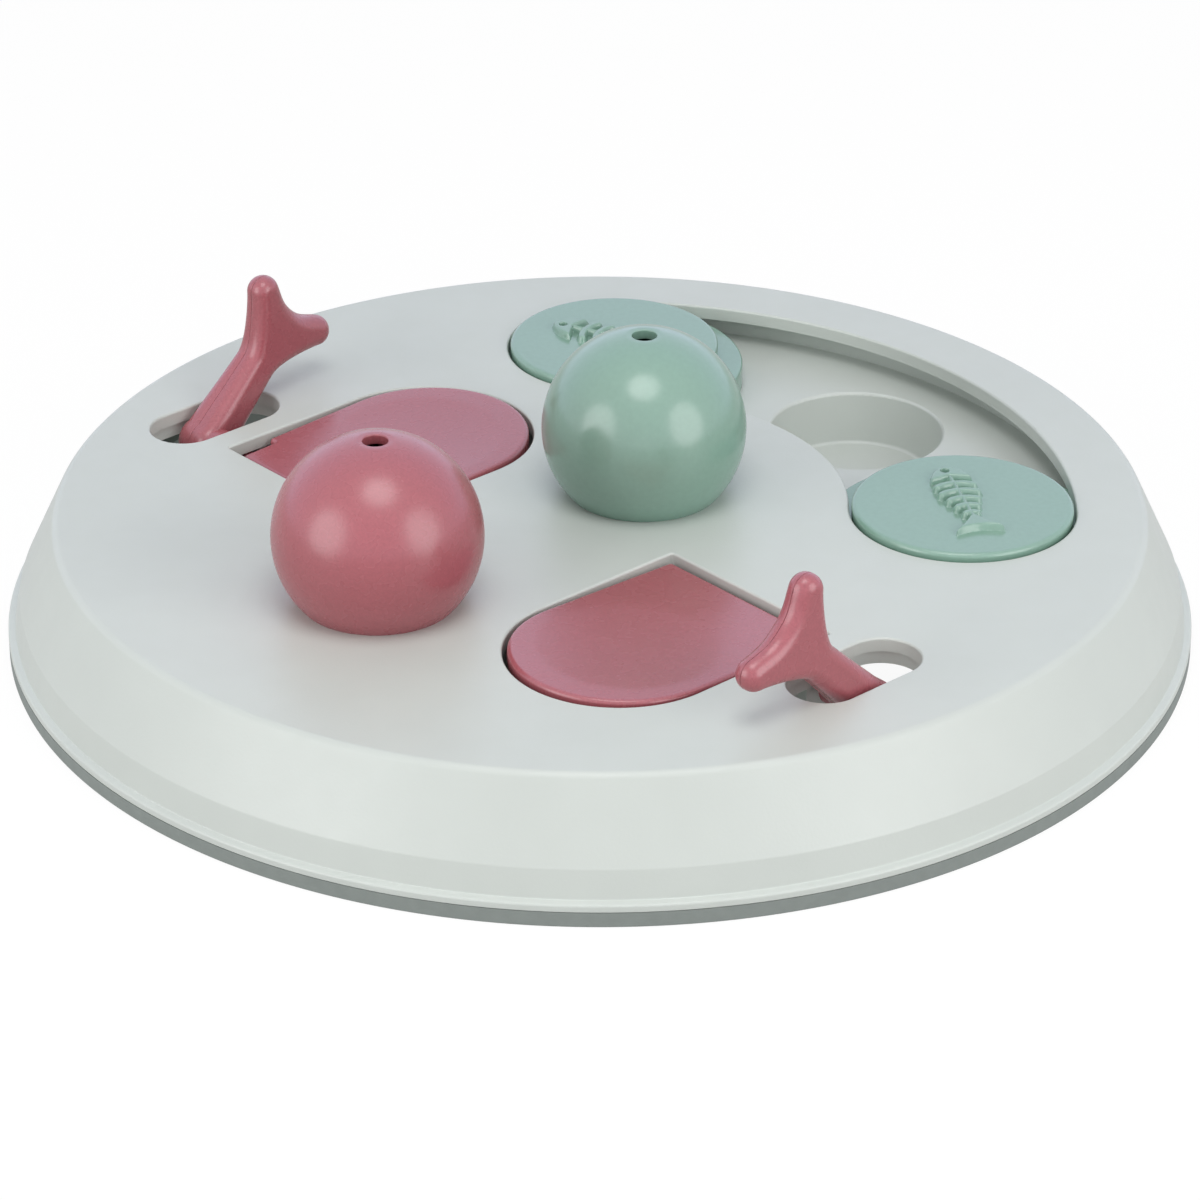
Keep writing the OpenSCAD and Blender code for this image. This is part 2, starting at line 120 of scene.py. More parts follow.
RELIEF_STEP = 0.125

# Flaps: where each window's flat end lies and the way its lid points
FLAPS = {"front": (28.0, -38.2, 222.0), "rear": (-59.1, 6.9, 42.0)}
FLAP_R = 21.4
FLAP_LEN = 33.0
FLAP_CORNER = 0.6
SLOT_T = 6.6
SLOT_OFF = 34.2
SLOT_RUN = 15.0
SLOT_R = 7.0
HINGE_T = 5.5
HINGE_Z = 19.8

# Lids
LID_GAP = 0.8
LID_T = 2.6
LID_TOP = 4.8
LID_BACK = 4.3
LID_TILT = 2.2
LID_EDGE = 0.9
LID_CORNER = 1.0
NOTCH_W = 2.0
NOTCH_LEN = 4.0
NOTCH_ROUND = 0.3
BARREL_R = 4.2
BARREL_IN = 0.5
ROD_SIDES = 48
DISH = 0.5
DISH_R = 17.0
DISH_BACK = 2.0

# Tail levers
TAIL_LEN = 31.5
TAIL_LEAN = 45.0
TAIL_OFF = 36.0
FIN_SPAN = 24.0
LOBE_R = 3.1
LOBE_DROP = 0.3
LOBE_FROM = -50
LOBE_TO = 112
LOBE_PULL = 1.5
FIN_NOTCH_PULL = 2.5
FIN_NOTCH_FLAT = 4.0
ARM_W = 7.6
ARM_T = 9.4
FIN_T = 5.8
FOOT_FLARE = 0.4
FOOT_SHARE = 0.3
NECK_SHARE = 0.6
WAIST_SHARE = 0.58
WAIST_PULL = 3.0
HUB_R = 4.6
TAIL_BOSS = 8.0
TAIL_BOSS_R = 3.9
TAIL_BOSS_IN = 1.0
TAIL_EDGE = 2.7
TAIL_SEAM = 0.1

# Hoods and the openings under them
SPOTS = {"pink": (-41.1, -40.3), "green": (8.5, 5.2)}
DIP_R = 12.3
HOOD_R = 19.8
HOOD_RISE = 13.1
HOOD_T = 2.0
HOOD_HOLE_R = 2.4
HOOD_HOLE_ROUND = 0.25
HOOD_HOLE_DEPTH = 1.0
HOOD_BROW_R = 3.4
HOOD_CROP = 0.32
HOOD_LIP_T = 1.6
HOOD_LIP_H = 1.4
HOOD_LIP_PLAY = 0.4
HOOD_SOLE = 1.0
HOOD_SIDES = 180

# Floor
FLOOR_R = 6000.0
FLOOR_GAP = 0.05
FLOOR_SIDES = 64

# Plastic: the range that noise mostly fills, and the scales of uneven gloss and moulded grain
NOISE_LOW = 0.3
NOISE_HIGH = 0.7
PLASTIC_IOR = 1.55
ROUGH_SCALE = 300
ROUGH_VARY = 0.03
GRAIN_SCALE = 1600


# Points on a plane

def unit(degrees):
    """Direction at an angle."""
    a = math.radians(degrees)
    return math.cos(a), math.sin(a)


def arc(centre, radius, start, end, steps):
    """Points along an arc, both ends included."""
    points = []
    for k in range(steps + 1):
        c, s = unit(start + (end - start) * k / steps)
        points.append((centre[0] + radius * c, centre[1] + radius * s))
    return points


def circle(radius, count):
    """Points round the origin."""
    return arc((0, 0), radius, 0, 360, count)[:-1]


def rounded_path(corners, steps=6):
    """Open path through corners given as (x, y, radius)."""
    path = []
    for k, (x, y, radius) in enumerate(corners):
        if radius == 0:
            path.append((x, y))
            continue
        corner = Vector((x, y))
        back = (Vector(corners[k - 1][:2]) - corner).normalized()
        ahead = (Vector(corners[k + 1][:2]) - corner).normalized()
        half = back.angle(ahead) / 2
        centre = corner + (back + ahead).normalized() * (radius / math.sin(half))
        start = corner + back * (radius / math.tan(half)) - centre
        end = corner + ahead * (radius / math.tan(half)) - centre
        for s in range(steps + 1):
            spoke = (start * (1 - s / steps) + end * (s / steps)).normalized() * radius
            path.append(tuple(centre + spoke))
    return path


def divided(loop, step):
    """Closed loop with points added along its long spans."""
    points = []
    for a, b in zip(loop, loop[1:] + loop[:1]):
        count = max(1, round(math.dist(a, b) / step))
        for k in range(count):
            points.append((a[0] + (b[0] - a[0]) * k / count, a[1] + (b[1] - a[1]) * k / count))
    return points


def outward(loop):
    """Outward directions at the points of a loop."""
    ways = []
    for k in range(len(loop)):
        ahead, back = Vector(loop[(k + 1) % len(loop)]), Vector(loop[k - 1])
        d = (ahead - back).normalized()
        ways.append((d.y, -d.x))
    return ways


def inset(loop, ways, depth):
    """Loop drawn in against its outward directions."""
    return [(x - depth * w[0], y - depth * w[1]) for (x, y), w in zip(loop, ways)]


# Shared mesh helpers

def vert(bm, x, y, z):
    """Vertex at a place in millimetres."""
    return bm.verts.new((x * MM, y * MM, z * MM))


def shifted(x, y, z):
    """Transform that moves by millimetres."""
    return Matrix.Translation((x * MM, y * MM, z * MM))


def swung(degrees, axis):
    """Transform that turns about an axis."""
    return Matrix.Rotation(math.radians(degrees), 4, axis)


def ring(bm, points, z):
    """Loop of vertices at one height."""
    return [vert(bm, x, y, z) for x, y in points]


def bridge(bm, a, b):
    """Quads between two loops of the same length."""
    for k in range(len(a)):
        m = (k + 1) % len(a)
        bm.faces.new((a[k], a[m], b[m], b[k]))


def bridge_all(bm, loops):
    """Quads from each loop to the next."""
    for a, b in zip(loops, loops[1:]):
        bridge(bm, a, b)


def turned(bm, profile, count):
    """Closed ring about the z axis from a closed profile of (radius, height) points."""
    rings = [ring(bm, circle(r, count), z) for r, z in profile]
    bridge_all(bm, rings + rings[:1])


def rod_y(bm, radius, start, end):
    """Round bar along y."""
    ends = [[vert(bm, x, y, z) for x, z in circle(radius, ROD_SIDES)] for y in (start, end)]
    bridge(bm, *ends)
    for face in ends:
        bm.faces.new(face)


def fill(bm, loops):
    """Flat face between an outer loop and the holes in it."""
    edges = []
    for loop in loops:
        for k, v in enumerate(loop):
            edges.append(bm.edges.get((v, loop[(k + 1) % len(loop)])))
    bmesh.ops.triangle_fill(bm, use_beauty=True, edges=edges)


def shells(bm):
    """Groups of faces that hang together."""
    left = set(bm.faces)
    groups = []
    while left:
        group = [left.pop()]
        for face in group:
            near = {other for edge in face.edges for other in edge.link_faces} & left
            left -= near
            group.extend(near)
        groups.append(group)
    return groups


def enclosed(faces):
    """Six times the signed volume inside a closed shell."""
    total = 0.0
    for face in faces:
        spots = [v.co for v in face.verts]
        for b, c in zip(spots[1:], spots[2:]):
            total += spots[0].dot(b.cross(c))
    return total


def face_out(bm):
    """Turns the faces of every closed shell outward."""
    bmesh.ops.recalc_face_normals(bm, faces=bm.faces)
    if any(edge.is_boundary for edge in bm.edges):
        return
    for group in shells(bm):
        if enclosed(group) < 0:
            bmesh.ops.reverse_faces(bm, faces=group)


def to_object(bm, name, sharp=40):
    """Object from a bmesh, smooth apart from edges sharper than an angle."""
    face_out(bm)
    mesh = bpy.data.meshes.new(name)
    bm.to_mesh(mesh)
    bm.free()
    mesh.shade_smooth()
    mesh.set_sharp_from_angle(angle=math.radians(sharp))
    obj = bpy.data.objects.new(name, mesh)
    bpy.context.scene.collection.objects.link(obj)
    weighted = obj.modifiers.new("even_normals", "WEIGHTED_NORMAL")
    weighted.keep_sharp = True
    return obj


# Cover and grip ring

def track_loop(grow):
    """Outline of the track window."""
    half = TRACK_HALF + grow
    start = tuple(TRACK_R * c for c in unit(TRACK_START))
    end = tuple(TRACK_R * c for c in unit(TRACK_END))
    outer = arc((0, 0), TRACK_R + half, TRACK_START, TRACK_END, 120)
    far_end = arc(end, half, TRACK_END, TRACK_END + 180, 60)
    inner = arc((0, 0), TRACK_R - half, TRACK_END, TRACK_START, 90)
    near_end = arc(start, half, TRACK_START + 180, TRACK_START + 360, 60)
    return outer[:-1] + far_end[:-1] + inner[:-1] + near_end[:-1]


def placed(points, place):
    """Points turned and moved from a flap's frame to the board."""
    c, s = unit(place[2])
    return [(place[0] + x * c - y * s, place[1] + x * s + y * c) for x, y in points]


def flap_loop(grow):
    """Outline of a lid window in its flap's frame, with small round corners."""
    corner = FLAP_CORNER
    return (arc((FLAP_LEN, 0), FLAP_R + grow, -90, 90, 72)
            + arc((corner, FLAP_R - corner), corner + grow, 90, 180, 6)
            + arc((corner, corner - FLAP_R), corner + grow, 180, 270, 6))


def slot_loop(grow):
    """Outline of a lever slot in its flap's frame."""
    radius = SLOT_R + grow
    return (arc((SLOT_T + SLOT_RUN / 2, SLOT_OFF), radius, -90, 90, 36)
            + arc((SLOT_T - SLOT_RUN / 2, SLOT_OFF), radius, 90, 270, 36))


def dip_loop(spot, grow):
    """Outline of the bowl opening under a hood."""
    return arc(spot, DIP_R + grow, 0, 360, 90)[:-1]


def window_loops(grow):
    """Outlines of all the openings in the cover."""
    loops = [track_loop(grow)]
    for place in FLAPS.values():
        loops.append(placed(flap_loop(grow), place))
        loops.append(placed(slot_loop(grow), place))
    for spot in SPOTS.values():
        loops.append(dip_loop(spot, grow))
    return loops


def window_walls(bm):
    """Rounded edges and walls of the openings, as (top loops, bottom loops)."""
    steps = 4
    stations = []
    for k in range(steps + 1):
        c, s = unit(90 * k / steps)
        stations.append((WINDOW_ROUND * (1 - s), BOARD_H - WINDOW_ROUND * (1 - c)))
    stations.append((0.0, DECK_Z))
    levels = [[ring(bm, loop, z) for loop in window_loops(grow)] for grow, z in stations]
    for upper, lower in zip(levels, levels[1:]):
        for a, b in zip(upper, lower):
            bridge(bm, a, b)
    return levels[0], levels[-1]


def cover():
    """Top plate with its openings and the stepped rim, which ends in a bead."""
    bm = bmesh.new()
    tops, bottoms = window_walls(bm)
    bead_z = RING_H + BEAD_RISE
    corners = [(0, BOARD_H, 0), (TOP_R, BOARD_H, TOP_ROUND), (BAND_R, BAND_Z, BAND_ROUND),
               (RIM_R - BEAD_W, bead_z + BEAD_STEP, SEAM_ROUND), (RIM_R, bead_z, BEAD_ROUND),
               (RIM_R, RING_H, SEAM_ROUND), (WALL_R, RING_H, 0), (WALL_R, BAND_Z - BEVEL_DROP, 0),
               (TOP_R - BEVEL_T, DECK_Z, 0)]
    profile = rounded_path(corners, steps=8)[1:]
    rings = [ring(bm, circle(r, RIM_SIDES), z) for r, z in profile]
    bridge_all(bm, rings)
    fill(bm, [rings[0]] + tops)
    fill(bm, [rings[-1]] + bottoms)
    return to_object(bm, "cover_skin")


def grip_ring():
    """Soft ring under the rim with a lip inside it."""
    lip_r = WALL_R - RING_PLAY
    lip_z = RING_H + RING_LIP_H
    corners = [(lip_r - RING_LIP_W, 0, 0), (RIM_R, 0, RING_ROUND), (RIM_R, RING_H, 0), (lip_r, RING_H, 0),
               (lip_r, lip_z, 0), (lip_r - RING_LIP_W, lip_z, 0)]
    bm = bmesh.new()
    turned(bm, rounded_path(corners), RIM_SIDES)
    return to_object(bm, "ring_skin")


# Discs with the fish-bone relief

def segment_distance(x, y, a, b):
    """Distance from points to a line segment."""
    dx, dy = b[0] - a[0], b[1] - a[1]
    t = np.clip(((x - a[0]) * dx + (y - a[1]) * dy) / (dx * dx + dy * dy), 0, 1)
    return np.hypot(x - a[0] - t * dx, y - a[1] - t * dy)


def polygon_distance(x, y, points):
    """Signed distance from points to a polygon, negative inside."""
    away = np.full(x.shape, 1e9)
    inside = np.zeros(x.shape, bool)
    for a, b in zip(points, points[1:] + points[:1]):
        away = np.minimum(away, segment_distance(x, y, a, b))
        if a[1] != b[1]:
            spans = (a[1] > y) != (b[1] > y)
            inside ^= spans & (x < (b[0] - a[0]) * (y - a[1]) / (b[1] - a[1]) + a[0])
    return np.where(inside, -away, away)


def bent_path(root, bend, tip, steps):
    """Points along a quadratic curve."""
    return [tuple((1 - t) ** 2 * a + 2 * t * (1 - t) * b + t * t * c for a, b, c in zip(root, bend, tip))
            for t in np.linspace(0, 1, steps + 1)]


def rib_distance(x, side, k):
    """Signed distance to one pair of ribs, shorter towards the tail and bent back at their tips."""
    root = RIB_X - RIB_PITCH * k
    reach = RIB_REACH - RIB_LOSS * max(k - 1, 0)
    path = bent_path((root, 0), (root, reach * RIB_BEND), (root - RIB_SWEEP * reach, reach), 6)
    return np.min([segment_distance(x, side, a, b) for a, b in zip(path, path[1:])], axis=0) - RIB_R


def head_distance(x, y):
    """Signed distance to the head: two bows from the gills to the nose, and the eye."""
    side = np.abs(y)
    bow = (HEAD_LEN ** 2 + HEAD_HALF ** 2) / (2 * HEAD_HALF)
    bows = np.hypot(x - HEAD_X, side - HEAD_HALF + bow) - bow
    gills = GILL_COS * (GILL_X - GILL_SLANT * side - x)
    eye = EYE_STEEP * (EYE_R - np.hypot(x - EYE[0], y - EYE[1]))
    return np.maximum(np.maximum(bows, gills), eye)


def fin_distance(x, y):
    """Signed distance to the tail fin with its hollow end."""
    fan = polygon_distance(x, np.abs(y), BONE_FIN)
    return np.maximum(fan, HOLLOW_R - np.hypot(x - HOLLOW_X, y))


def bone_distance(x, y):
    """Signed distance to the outline of a generic fish bone."""
    spine = segment_distance(x, y, (SPINE[0], 0), (SPINE[1], 0)) - SPINE_R
    ribs = [rib_distance(x, np.abs(y), k) for k in range(RIBS)]
    return np.min([spine, head_distance(x, y), fin_distance(x, y)] + ribs, axis=0)


def bone_height(x, y):
    """Height of the relief, steep at its foot and round at its top."""
    t = np.clip(-bone_distance(x, y) / BONE_EDGE, 0, 1)
    return BONE_H * (1 - (1 - t) ** BONE_POWER)


def relief(bm):
    """Finely divided patch with the fish bone on it, as its outer loop of vertices."""
    xs = np.linspace(-RELIEF_LONG, RELIEF_LONG, round(2 * RELIEF_LONG / RELIEF_STEP) + 1)
    ys = np.linspace(-RELIEF_WIDE, RELIEF_WIDE, round(2 * RELIEF_WIDE / RELIEF_STEP) + 1)
    x, y = np.meshgrid(xs, ys)
    z = DISC_TOP + bone_height(x, y)
    grid = [[vert(bm, *spot) for spot in zip(*row)] for row in zip(x, y, z)]
    for low, high in zip(grid, grid[1:]):
        for k in range(len(low) - 1):
            bm.faces.new((low[k], low[k + 1], high[k + 1], high[k]))
    right = [row[-1] for row in grid]
    left = [row[0] for row in grid]
    return grid[0][:-1] + right[:-1] + grid[-1][:0:-1] + left[:0:-1]


def disc(name, place, turn):
    """Stepped slider disc at an angle on the track, its relief turned from the way it runs."""
    bm = bmesh.new()
    inside = FLANGE_TOP - SKIN
    corners = [(FACE_R, DISC_TOP, 0), (DISC_R, DISC_TOP, DISC_EDGE), (DISC_R, FLANGE_TOP, 0),
               (FLANGE_R, FLANGE_TOP, FLANGE_EDGE), (FLANGE_R, SLIDER_LO, 0),
               (FLANGE_R - SKIN, SLIDER_LO, 0), (FLANGE_R - SKIN, inside, 0), (DISC_R - SKIN, inside, 0),
               (DISC_R - SKIN, DISC_TOP - SKIN, 0), (CORE_R, DISC_TOP - SKIN, 0)]
    rings = [ring(bm, circle(r, DISC_SIDES), z) for r, z in rounded_path(corners)]
    bridge_all(bm, rings)
    bm.faces.new(rings[-1])
    fill(bm, [rings[0], relief(bm)])
    c, s = unit(place)
    bm.transform(shifted(TRACK_R * c, TRACK_R * s, 0) @ swung(place + 90 + turn, "Z"))
    return to_object(bm, name)


# Lids

def flap_frame(place):
    """Transform from a flap's frame, at the height of its hinge, to the board."""
    return shifted(place[0], place[1], HINGE_Z) @ swung(place[2], "Z")


def lid_loop():
    """Outline of a lid about its hinge, narrower in the corner beside its lever."""
    run, half = FLAP_LEN - HINGE_T, FLAP_R - LID_GAP
    inner = half - NOTCH_W
    corners = [(run, half, 0), (NOTCH_LEN, half, LID_CORNER), (NOTCH_LEN, inner, NOTCH_ROUND),
               (-LID_BACK, inner, LID_CORNER), (-LID_BACK, -half, LID_CORNER), (run, -half, 0)]
    return divided(rounded_path(corners) + arc((run, 0), half, -90, 90, 72)[1:-1], step=1.0)


def lid_top(bm, edge_points):
    """Top of a lid as loops that close in on the middle of its shallow dish."""
    middle, rounds = FLAP_LEN - HINGE_T - DISH_BACK, 24
    loops = []
    for k in range(1, rounds):
        share = 1 - k / rounds
        loop = []
        for px, py in edge_points:
            x, y = middle + share * (px - middle), share * py
            depth = DISH * max(0, 1 - ((x - middle) ** 2 + y * y) / DISH_R ** 2)
            loop.append(vert(bm, x, y, LID_TOP - depth))
        loops.append(loop)
    return loops


def lid(name, place):
    """Flip lid: a plate with a soft upper edge and a barrel on its hinge."""
    steps = 6
    loop = lid_loop()
    ways = outward(loop)
    bm = bmesh.new()
    rings = [ring(bm, loop, LID_TOP - LID_T)]
    for k in range(steps + 1):
        c, s = unit(90 * k / steps)
        points = inset(loop, ways, LID_EDGE * (1 - c))
        rings.append(ring(bm, points, LID_TOP - LID_EDGE * (1 - s)))
    rings += lid_top(bm, points)
    bridge_all(bm, rings)
    for end in (rings[0], rings[-1]):
        bm.faces.new(end)
    bm.transform(swung(-LID_TILT, "Y"))
    half = FLAP_R - LID_GAP - BARREL_IN
    rod_y(bm, BARREL_R, -half, half - NOTCH_W)
    bm.transform(flap_frame(place) @ shifted(HINGE_T, 0, 0))
    return to_object(bm, name)


# Tail levers

def cubic(points, t):
    """Point on a cubic curve."""
    u = 1 - t
    weights = (u ** 3, 3 * u * u * t, 3 * u * t * t, t ** 3)
    return tuple(sum(w * p[k] for w, p in zip(weights, points)) for k in (0, 1))


def lobe_at(angle, on=0.0):
    """Point on the fin's right lobe at an angle, moved on along the lobe's edge."""
    c, s = unit(angle)
    return FIN_SPAN / 2 - LOBE_R + LOBE_R * c - on * s, TAIL_LEN - LOBE_DROP + LOBE_R * s + on * c


def tail_side():
    """Right half of a lever's outline, from its hub to the notch of the fin."""
    half, foot, waist = ARM_W / 2, ARM_W / 2 + FOOT_FLARE, TAIL_LEN * WAIST_SHARE
    hub = (foot, math.sqrt(HUB_R ** 2 - foot ** 2))
    arm = [hub, (foot, waist * FOOT_SHARE), (half, waist * NECK_SHARE), (half, waist)]
    flare = [arm[-1], (half, waist + WAIST_PULL), lobe_at(LOBE_FROM, -LOBE_PULL), lobe_at(LOBE_FROM)]
    notch = [lobe_at(LOBE_TO), lobe_at(LOBE_TO, FIN_NOTCH_PULL), (FIN_NOTCH_FLAT, TAIL_LEN), (0, TAIL_LEN)]
    side = [cubic(arm, k / 8) for k in range(8)]
    side += [cubic(flare, k / 16) for k in range(17)]
    side += [lobe_at(LOBE_FROM + (LOBE_TO - LOBE_FROM) * k / 20) for k in range(1, 21)]
    side += [cubic(notch, k / 12) for k in range(1, 13)]
    return side


def tail_loop():
    """Whole outline of a lever with its round hub, as (x, z) points."""
    side = tail_side()
    start = 180 - math.degrees(math.acos(side[0][0] / HUB_R))
    hub = arc((0, 0), HUB_R, start, 540 - start, 24)[1:-1]
    return side + [(-x, z) for x, z in reversed(side[:-1])] + hub


def half_thick(z):
    """Half a lever's thickness at a height over its axle."""
    return (ARM_T + (FIN_T - ARM_T) * z / TAIL_LEN) / 2


def tail_stations():
    """Rings of a lever's shell from seam to face, as (inset, share of the half thickness, shift)."""
    steps = 10
    stations = [(TAIL_SEAM, 0.0, 0.0), (0.0, 0.0, TAIL_SEAM)]
    for k in range(steps + 1):
        c, s = unit(90 * k / steps)
        stations.append((TAIL_EDGE * (1 - c), 1.0, TAIL_EDGE * (s - 1)))
    return stations


def tail_shell(name, place, side):
    """One soft-edged shell of a lever, from its seam to its face: side -1 is next to the lid."""
    loop = tail_loop()
    ways = outward(loop)
    bm = bmesh.new()
    rings = []
    for depth, share, shift in tail_stations():
        points = inset(loop, ways, depth)
        rings.append([vert(bm, x, side * (share * half_thick(z) + shift), z) for x, z in points])
    bridge_all(bm, rings)
    for end in (rings[0], rings[-1]):
        bm.faces.new(end)
    if side < 0:
        rod_y(bm, TAIL_BOSS_R, -TAIL_BOSS_IN, -TAIL_BOSS)
    bm.transform(flap_frame(place) @ shifted(HINGE_T, TAIL_OFF, 0) @ swung(TAIL_LEAN, "Y"))
    return to_object(bm, name, sharp=50)


# Hoods

def hood_profile():
    """Closed profile of a hood about its ball's middle, as (radius, height) points."""
    inner_r, lip_r = HOOD_R - HOOD_T, DIP_R - HOOD_LIP_PLAY
    hole_z, sole_z = HOOD_R - HOOD_CROP, HOOD_SOLE - HOOD_RISE
    brow = math.degrees(math.asin(hole_z / HOOD_R))
    foot = math.degrees(math.asin(-HOOD_RISE / HOOD_R))
    inner_top = math.degrees(math.acos(HOOD_HOLE_R / inner_r))
    inner_foot = math.degrees(math.asin(sole_z / inner_r))
    edge = rounded_path([(HOOD_BROW_R, hole_z, 0), (HOOD_HOLE_R, hole_z, HOOD_HOLE_ROUND),
                         (HOOD_HOLE_R, hole_z - HOOD_HOLE_DEPTH, 0)])
    lip_z = -HOOD_LIP_H - HOOD_RISE
    lip = [(lip_r - HOOD_LIP_T, sole_z), (lip_r - HOOD_LIP_T, lip_z), (lip_r, lip_z), (lip_r, -HOOD_RISE)]
    outside = arc((0, 0), HOOD_R, foot, brow, 72)
    inside = arc((0, 0), inner_r, inner_top, inner_foot, 48)
    return outside + edge + inside + lip


def hood(name, spot):
    """Ball-shaped hood with a crisp hole, a flat foot and a locating lip."""
    bm = bmesh.new()
    turned(bm, hood_profile(), HOOD_SIDES)
    bm.transform(shifted(spot[0], spot[1], BOARD_H + HOOD_RISE))
    return to_object(bm, name)


# Finishes

def node_tree(name):
    """New material with its node tree and surface shader."""
    material = bpy.data.materials.new(name)
    material.use_nodes = True
    tree = material.node_tree
    return material, tree, tree.nodes["Principled BSDF"]


def noise(tree, scale):
    """Noise in the object's own coordinates."""
    place = tree.nodes.new("ShaderNodeTexCoord")
    texture = tree.nodes.new("ShaderNodeTexNoise")
    texture.inputs["Scale"].default_value = scale
    texture.inputs["Detail"].default_value = 2.0
    tree.links.new(place.outputs["Object"], texture.inputs["Vector"])
    return texture.outputs["Fac"]


def spread(tree, value, low, high):
    """A noise value stretched to a range."""
    node = tree.nodes.new("ShaderNodeMapRange")
    node.inputs["From Min"].default_value = NOISE_LOW
    node.inputs["From Max"].default_value = NOISE_HIGH
    node.inputs["To Min"].default_value = low
    node.inputs["To Max"].default_value = high
    tree.links.new(value, node.inputs["Value"])
    return node.outputs["Result"]


def colour_mix(tree):
    """Node that mixes two colours."""
    mix = tree.nodes.new("ShaderNodeMix")
    mix.data_type = "RGBA"
    return mix


def tinted(tree, value, dark, light):
    """Colour between two tones by a value."""
    mix = colour_mix(tree)
    mix.inputs["A"].default_value = (*dark, 1)
    mix.inputs["B"].default_value = (*light, 1)
    tree.links.new(value, mix.inputs["Factor"])
    return mix.outputs["Result"]


def grey(level):
    """Neutral colour."""
    return level, level, level


def grained(tree, shader, scale, depth):
    """Fine moulded grain on a surface."""
    bump = tree.nodes.new("ShaderNodeBump")
    bump.inputs["Strength"].default_value = 1.0
    bump.inputs["Distance"].default_value = depth
    tree.links.new(noise(tree, scale), bump.inputs["Height"])
    tree.links.new(bump.outputs["Normal"], shader.inputs["Normal"])


def plastic(name, colour, vary, rough, speck, grain):
    """Moulded plastic: base colour, its spread, roughness, fineness of specks and depth of grain."""
    material, tree, shader = node_tree(name)
    dark = [c * (1 - vary) for c in colour]
    light = [c * (1 + vary) for c in colour]
    tone = spread(tree, noise(tree, speck), 0, 1)
    tree.links.new(tinted(tree, tone, dark, light), shader.inputs["Base Color"])
    uneven = spread(tree, noise(tree, ROUGH_SCALE), rough - ROUGH_VARY, rough + ROUGH_VARY)
    tree.links.new(uneven, shader.inputs["Roughness"])
    shader.inputs["IOR"].default_value = PLASTIC_IOR
    grained(tree, shader, GRAIN_SCALE, grain)
    return material


def pale_plastic():
    """Cover, tray and bowls."""
    return plastic("pale_plastic", (0.555, 0.592, 0.56), vary=0.015, rough=0.42, speck=60, grain=0.00002)


def grey_rubber():
    """Grip ring."""
    return plastic("grey_rubber", (0.215, 0.242, 0.227), vary=0.04, rough=0.7, speck=400, grain=0.00002)


def green_plastic():
    """Discs and green hood."""
    return plastic("green_plastic", (0.221, 0.367, 0.297), vary=0.02, rough=0.2, speck=900, grain=0.000004)


def pink_plastic():
    """Lids, levers, axles and pink hood, with fine specks."""
    return plastic("pink_plastic", (0.361, 0.097, 0.115), vary=0.08, rough=0.27, speck=2200, grain=0.000004)


def screw_steel():
    """Bright screws with fine marks."""
    material, tree, shader = node_tree("screw_steel")
    dark, light = (0.5, 0.5, 0.52), (0.66, 0.66, 0.68)
    tone = spread(tree, noise(tree, scale=900), 0, 1)
    tree.links.new(tinted(tree, tone, dark, light), shader.inputs["Base Color"])
    uneven = spread(tree, noise(tree, scale=1500), low=0.25, high=0.4)
    tree.links.new(uneven, shader.inputs["Roughness"])
    shader.inputs["Metallic"].default_value = 1.0
    return material


def finishes():
    """Materials by the record's slots."""
    makers = (pale_plastic, grey_rubber, green_plastic, pink_plastic, screw_steel)
    return {maker.__name__: maker() for maker in makers}


def dress(obj, material):
    """Gives an object one material."""
    obj.data.materials.clear()
    obj.data.materials.append(material)


# Stage, light and camera

def floor_white():
    """Pale floor finish with a glow of its own, stronger as the camera sees it."""
    seen_share, plain_share = 0.45, 0.40
    material, tree, shader = node_tree("floor_white")
    tone = spread(tree, noise(tree, scale=2), 0, 1)
    tree.links.new(tinted(tree, tone, dark=grey(0.50), light=grey(0.52)), shader.inputs["Base Color"])
    shader.inputs["Roughness"].default_value = 0.9
    glow = tree.nodes.new("ShaderNodeEmission")
    glow.inputs["Strength"].default_value = 1.09
    rays = tree.nodes.new("ShaderNodeLightPath")
    share = tree.nodes.new("ShaderNodeMath")
    share.operation = "MULTIPLY_ADD"
    share.inputs[1].default_value = seen_share
    share.inputs[2].default_value = plain_share
    mix = tree.nodes.new("ShaderNodeMixShader")
    tree.links.new(rays.outputs["Is Camera Ray"], share.inputs[0])
    tree.links.new(share.outputs["Value"], mix.inputs["Fac"])
    tree.links.new(shader.outputs["BSDF"], mix.inputs[1])
    tree.links.new(glow.outputs["Emission"], mix.inputs[2])
    tree.links.new(mix.outputs["Shader"], tree.nodes["Material Output"].inputs["Surface"])
    return material


def floor():
    """Wide floor, a hair below the ring, that stays near white and keeps the object's shadow."""
    bm = bmesh.new()
    bm.faces.new(ring(bm, circle(FLOOR_R, FLOOR_SIDES), -FLOOR_GAP))
    obj = to_object(bm, "floor")
    dress(obj, floor_white())


def eased(tree, value, low, high):
    """Soft step of a value between two bounds."""
    node = tree.nodes.new("ShaderNodeMapRange")
    node.interpolation_type = "SMOOTHSTEP"
    node.inputs["From Min"].default_value = low
    node.inputs["From Max"].default_value = high
    tree.links.new(value, node.inputs["Value"])
    return node.outputs["Result"]


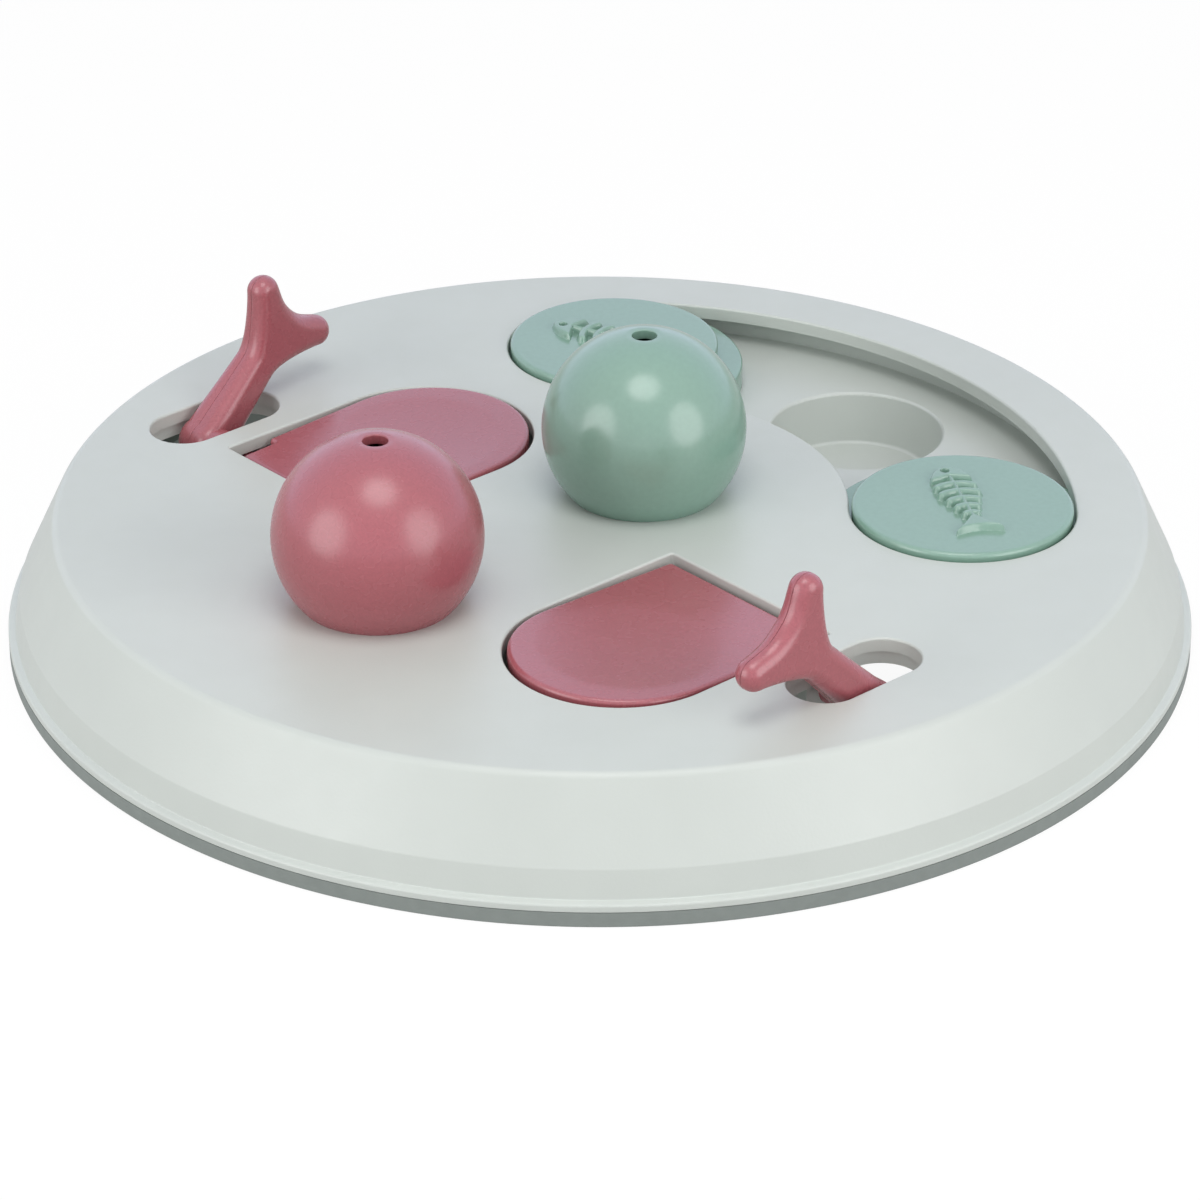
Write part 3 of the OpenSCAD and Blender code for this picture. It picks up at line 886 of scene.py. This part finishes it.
def surround():
    """White surround, brighter overhead and mirrored with a cool tinge, that gives part of the light."""
    world = bpy.data.worlds.new("studio")
    bpy.context.scene.world = world
    world.use_nodes = True
    tree = world.node_tree
    rays = tree.nodes.new("ShaderNodeLightPath")
    place = tree.nodes.new("ShaderNodeTexCoord")
    parts = tree.nodes.new("ShaderNodeSeparateXYZ")
    tree.links.new(place.outputs["Generated"], parts.inputs["Vector"])
    behind = eased(tree, parts.outputs["Y"], low=-0.2, high=0.7)
    above = eased(tree, parts.outputs["Z"], low=0.1, high=0.9)
    sky = tinted(tree, above, dark=grey(0.17), light=grey(0.61))
    gloss = tinted(tree, behind, (1.6, 1.56, 1.7), (1.3, 1.4, 1.76))
    mirrored = colour_mix(tree)
    tree.links.new(rays.outputs["Is Glossy Ray"], mirrored.inputs["Factor"])
    tree.links.new(sky, mirrored.inputs["A"])
    tree.links.new(gloss, mirrored.inputs["B"])
    seen = colour_mix(tree)
    seen.inputs["B"].default_value = (1, 1, 1, 1)
    tree.links.new(rays.outputs["Is Camera Ray"], seen.inputs["Factor"])
    tree.links.new(mirrored.outputs["Result"], seen.inputs["A"])
    tree.links.new(seen.outputs["Result"], tree.nodes["Background"].inputs["Color"])


def softbox(name, spot, half_wide, half_high, radiance):
    """Oval softbox that looks at the middle of the board, sizes in metres."""
    lamp = bpy.data.lights.new(name, "AREA")
    lamp.shape = "ELLIPSE"
    lamp.size = 2 * half_wide
    lamp.size_y = 2 * half_high
    lamp.energy = radiance * math.pi ** 2 * half_wide * half_high
    obj = bpy.data.objects.new(name, lamp)
    obj.location = spot
    obj.rotation_euler = Vector(spot).to_track_quat("Z", "Y").to_euler()
    bpy.context.scene.collection.objects.link(obj)


def camera():
    """Long lens that looks down on the board from the front."""
    lens = bpy.data.cameras.new("camera")
    lens.lens = 143.97
    lens.sensor_width = 36
    obj = bpy.data.objects.new("camera", lens)
    obj.location = (0, -0.8277, 0.4464)
    obj.rotation_euler = (math.radians(61.85), 0, 0)
    bpy.context.scene.collection.objects.link(obj)
    bpy.context.scene.camera = obj


def stage():
    """Floor, surround, softboxes and camera."""
    floor()
    surround()
    softbox("key_top", (0.0, -0.21, 0.63), half_wide=0.18, half_high=0.17, radiance=4.0)
    softbox("key_left", (-0.69, -0.47, 0.29), half_wide=0.31, half_high=0.34, radiance=2.95)
    softbox("key_right", (0.58, -0.45, 0.29), half_wide=0.28, half_high=0.32, radiance=2.9)
    camera()
    bpy.context.scene.view_settings.view_transform = "Standard"


# Assembly of the looks

def add(obj, body, slot, materials, *nodes):
    """Dresses a finer piece, lets it ride on a body and stand for CAD nodes."""
    dress(obj, materials[slot])
    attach(obj, body)
    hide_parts(*nodes)


def main():
    """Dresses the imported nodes, adds the finer pieces and sets the stage."""
    materials = finishes()
    for part in frame["record"]["subparts"]:
        dress(frame["nodes"][part["node"]], materials[part["material_slot"]])
    add(cover(), "board", "pale_plastic", materials, "top_cover")
    for end, (place, turn) in DISCS.items():
        add(disc("disc_" + end, place, turn), end + "_disc", "green_plastic", materials, "slider_" + end)
    for end, place in FLAPS.items():
        add(lid("lid_skin_" + end, place), end + "_flap", "pink_plastic", materials, "lid_" + end)
        for side, half in ((-1, "inner"), (1, "outer")):
            shell = tail_shell("lever_" + end + "_" + half, place, side)
            add(shell, end + "_flap", "pink_plastic", materials, "tail_" + end + "_" + half)
    for name, spot in SPOTS.items():
        add(hood("dome_" + name, spot), name + "_hood", name + "_plastic", materials, "hood_" + name)
    add(grip_ring(), "board", "grey_rubber", materials, "grip_ring")
    stage()


main()
